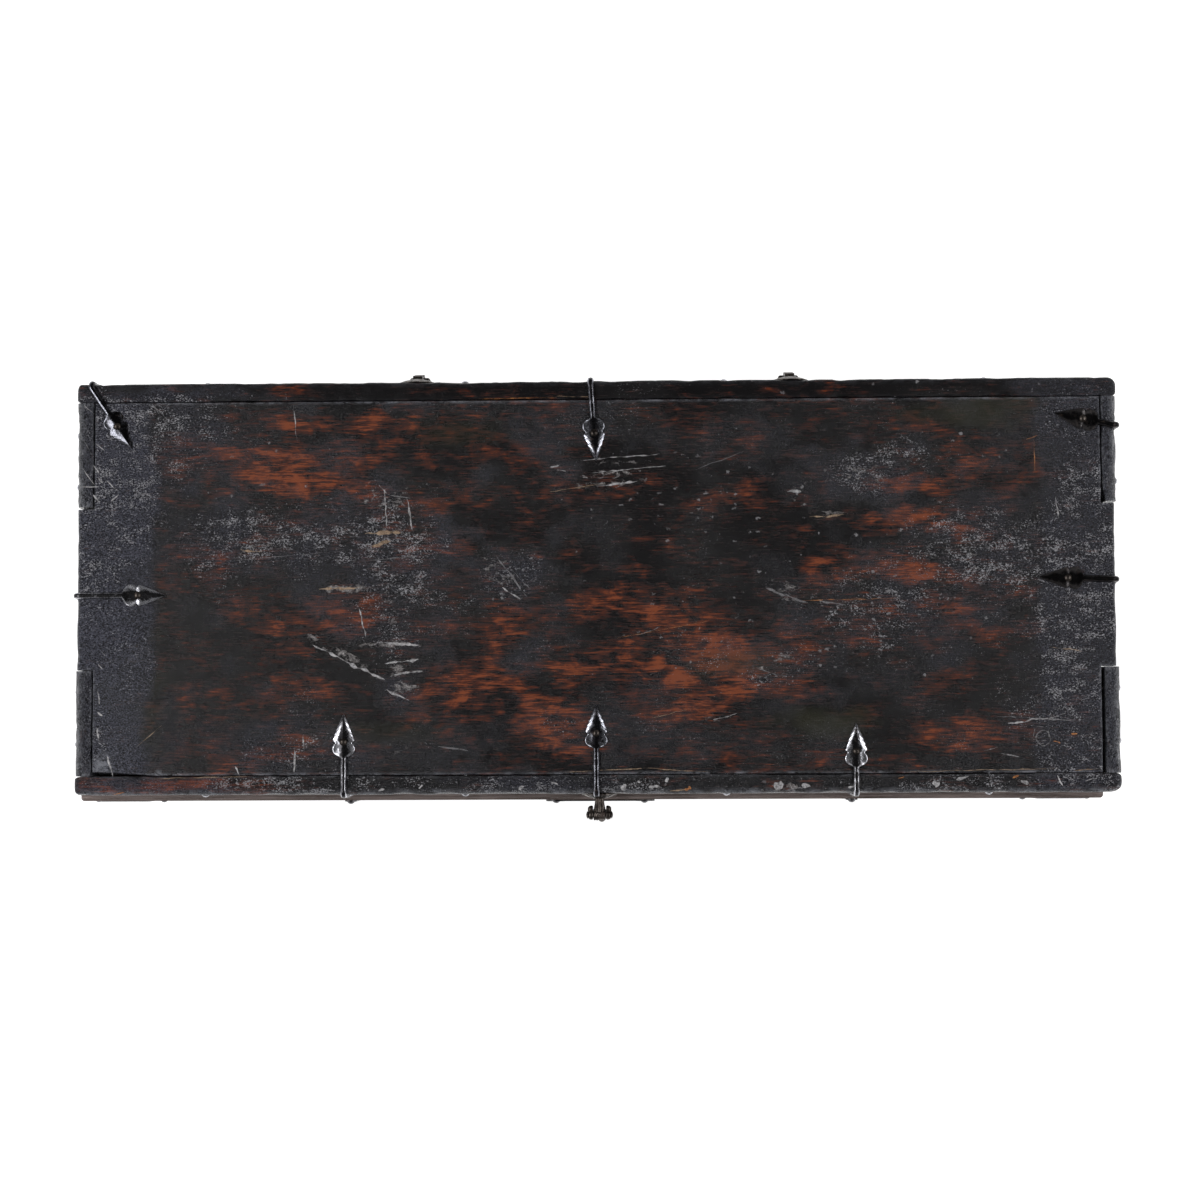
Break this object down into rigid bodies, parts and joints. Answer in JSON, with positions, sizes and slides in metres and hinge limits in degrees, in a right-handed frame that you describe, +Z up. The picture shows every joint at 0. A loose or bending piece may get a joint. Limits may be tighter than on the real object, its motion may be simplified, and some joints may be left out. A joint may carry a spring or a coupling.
{
  "type": "storage chest",
  "caption": "Long low wooden storage chest with a hinged plank lid, iron straps, hasp, sliding lock bolt and drop handles.",
  "frame": {"origin": "on the floor under the middle of the body, on the underside of the middle bearer", "axes": "+Z up, +X along the chest to its right seen from the front, +Y to the back where the hinges are"},
  "size_m": [1.245, 0.5326, 0.5355],
  "materials": {
    "lacquered_wood": "worn black lacquer over red-brown wood, satin",
    "raw_wood": "bare sawn wood, matt",
    "forged_iron": "dark forged iron, worn bright on its edges",
    "lock_iron": "filed iron, lightly oiled"
  },
  "bodies": {
    "carcass": {"front_board": "lacquered_wood", "back_board": "lacquered_wood", "end_board_left": "lacquered_wood", "end_board_right": "lacquered_wood", "bottom_boards": "raw_wood", "bottom_bearers": "raw_wood", "plinth_front": "lacquered_wood", "plinth_back": "lacquered_wood", "plinth_left": "lacquered_wood", "plinth_right": "lacquered_wood", "plinth_nails": "forged_iron", "carcass_nails": "forged_iron", "body_strap_left": "forged_iron", "body_strap_right": "forged_iron", "corner_irons_front_left": "forged_iron", "corner_irons_front_right": "forged_iron", "corner_irons_back_left": "forged_iron", "corner_irons_back_right": "forged_iron", "body_iron_nails": "forged_iron", "lock_plate": "forged_iron", "lock_nails": "forged_iron", "lock_backplate": "lock_iron", "lock_spring": "lock_iron", "hinge_staple_left": "forged_iron", "hinge_staple_right": "forged_iron", "hinge_rosettes_lower": "forged_iron", "handle_eyes_left": "forged_iron", "handle_eyes_right": "forged_iron", "handle_rosettes_left": "forged_iron", "handle_rosettes_right": "forged_iron"},
    "lid": {"lid_plank": "lacquered_wood", "lid_rail_front": "lacquered_wood", "lid_rail_back": "lacquered_wood", "lid_return_front_left": "lacquered_wood", "lid_return_front_right": "lacquered_wood", "lid_return_back_left": "lacquered_wood", "lid_return_back_right": "lacquered_wood", "lid_rail_nails": "forged_iron", "lid_strap_front_left": "forged_iron", "lid_strap_front_centre": "forged_iron", "lid_strap_front_right": "forged_iron", "lid_strap_back_left": "forged_iron", "lid_strap_back_centre": "forged_iron", "lid_strap_back_right": "forged_iron", "lid_strap_end_left": "forged_iron", "lid_strap_end_right": "forged_iron", "lid_strap_nails": "forged_iron", "hinge_eye_left": "forged_iron", "hinge_eye_right": "forged_iron", "hinge_rosettes_upper": "forged_iron", "hasp_eye": "forged_iron", "hasp_rosette": "forged_iron"},
    "hasp": {"hasp_blade": "forged_iron", "hasp_pin": "forged_iron", "hasp_loop": "forged_iron"},
    "bolt": {"lock_bolt": "lock_iron"},
    "bail_left": {"handle_left": "forged_iron"},
    "bail_right": {"handle_right": "forged_iron"}
  },
  "joints": [
    {"name": "lid_hinge", "type": "hinge", "parent": "carcass", "child": "lid", "pos_m": [0.0185, 0.252, 0.48025], "axis": [-1, 0, 0], "range_deg": [0, 105]},
    {"name": "hasp_hinge", "type": "hinge", "parent": "lid", "child": "hasp", "pos_m": [0.012, -0.26, 0.5045], "axis": [-1, 0, 0], "range_deg": [-8.67, 200]},
    {"name": "bolt_slide", "type": "slide", "parent": "carcass", "child": "bolt", "axis": [1, 0, 0], "range_m": [0, 0.014]},
    {"name": "handle_left_swing", "type": "hinge", "parent": "carcass", "child": "bail_left", "pos_m": [-0.614, 0, 0.33], "axis": [0, 1, 0], "range_deg": [-8, 165]},
    {"name": "handle_right_swing", "type": "hinge", "parent": "carcass", "child": "bail_right", "pos_m": [0.614, 0, 0.33], "axis": [0, -1, 0], "range_deg": [-8, 165]}
  ]
}
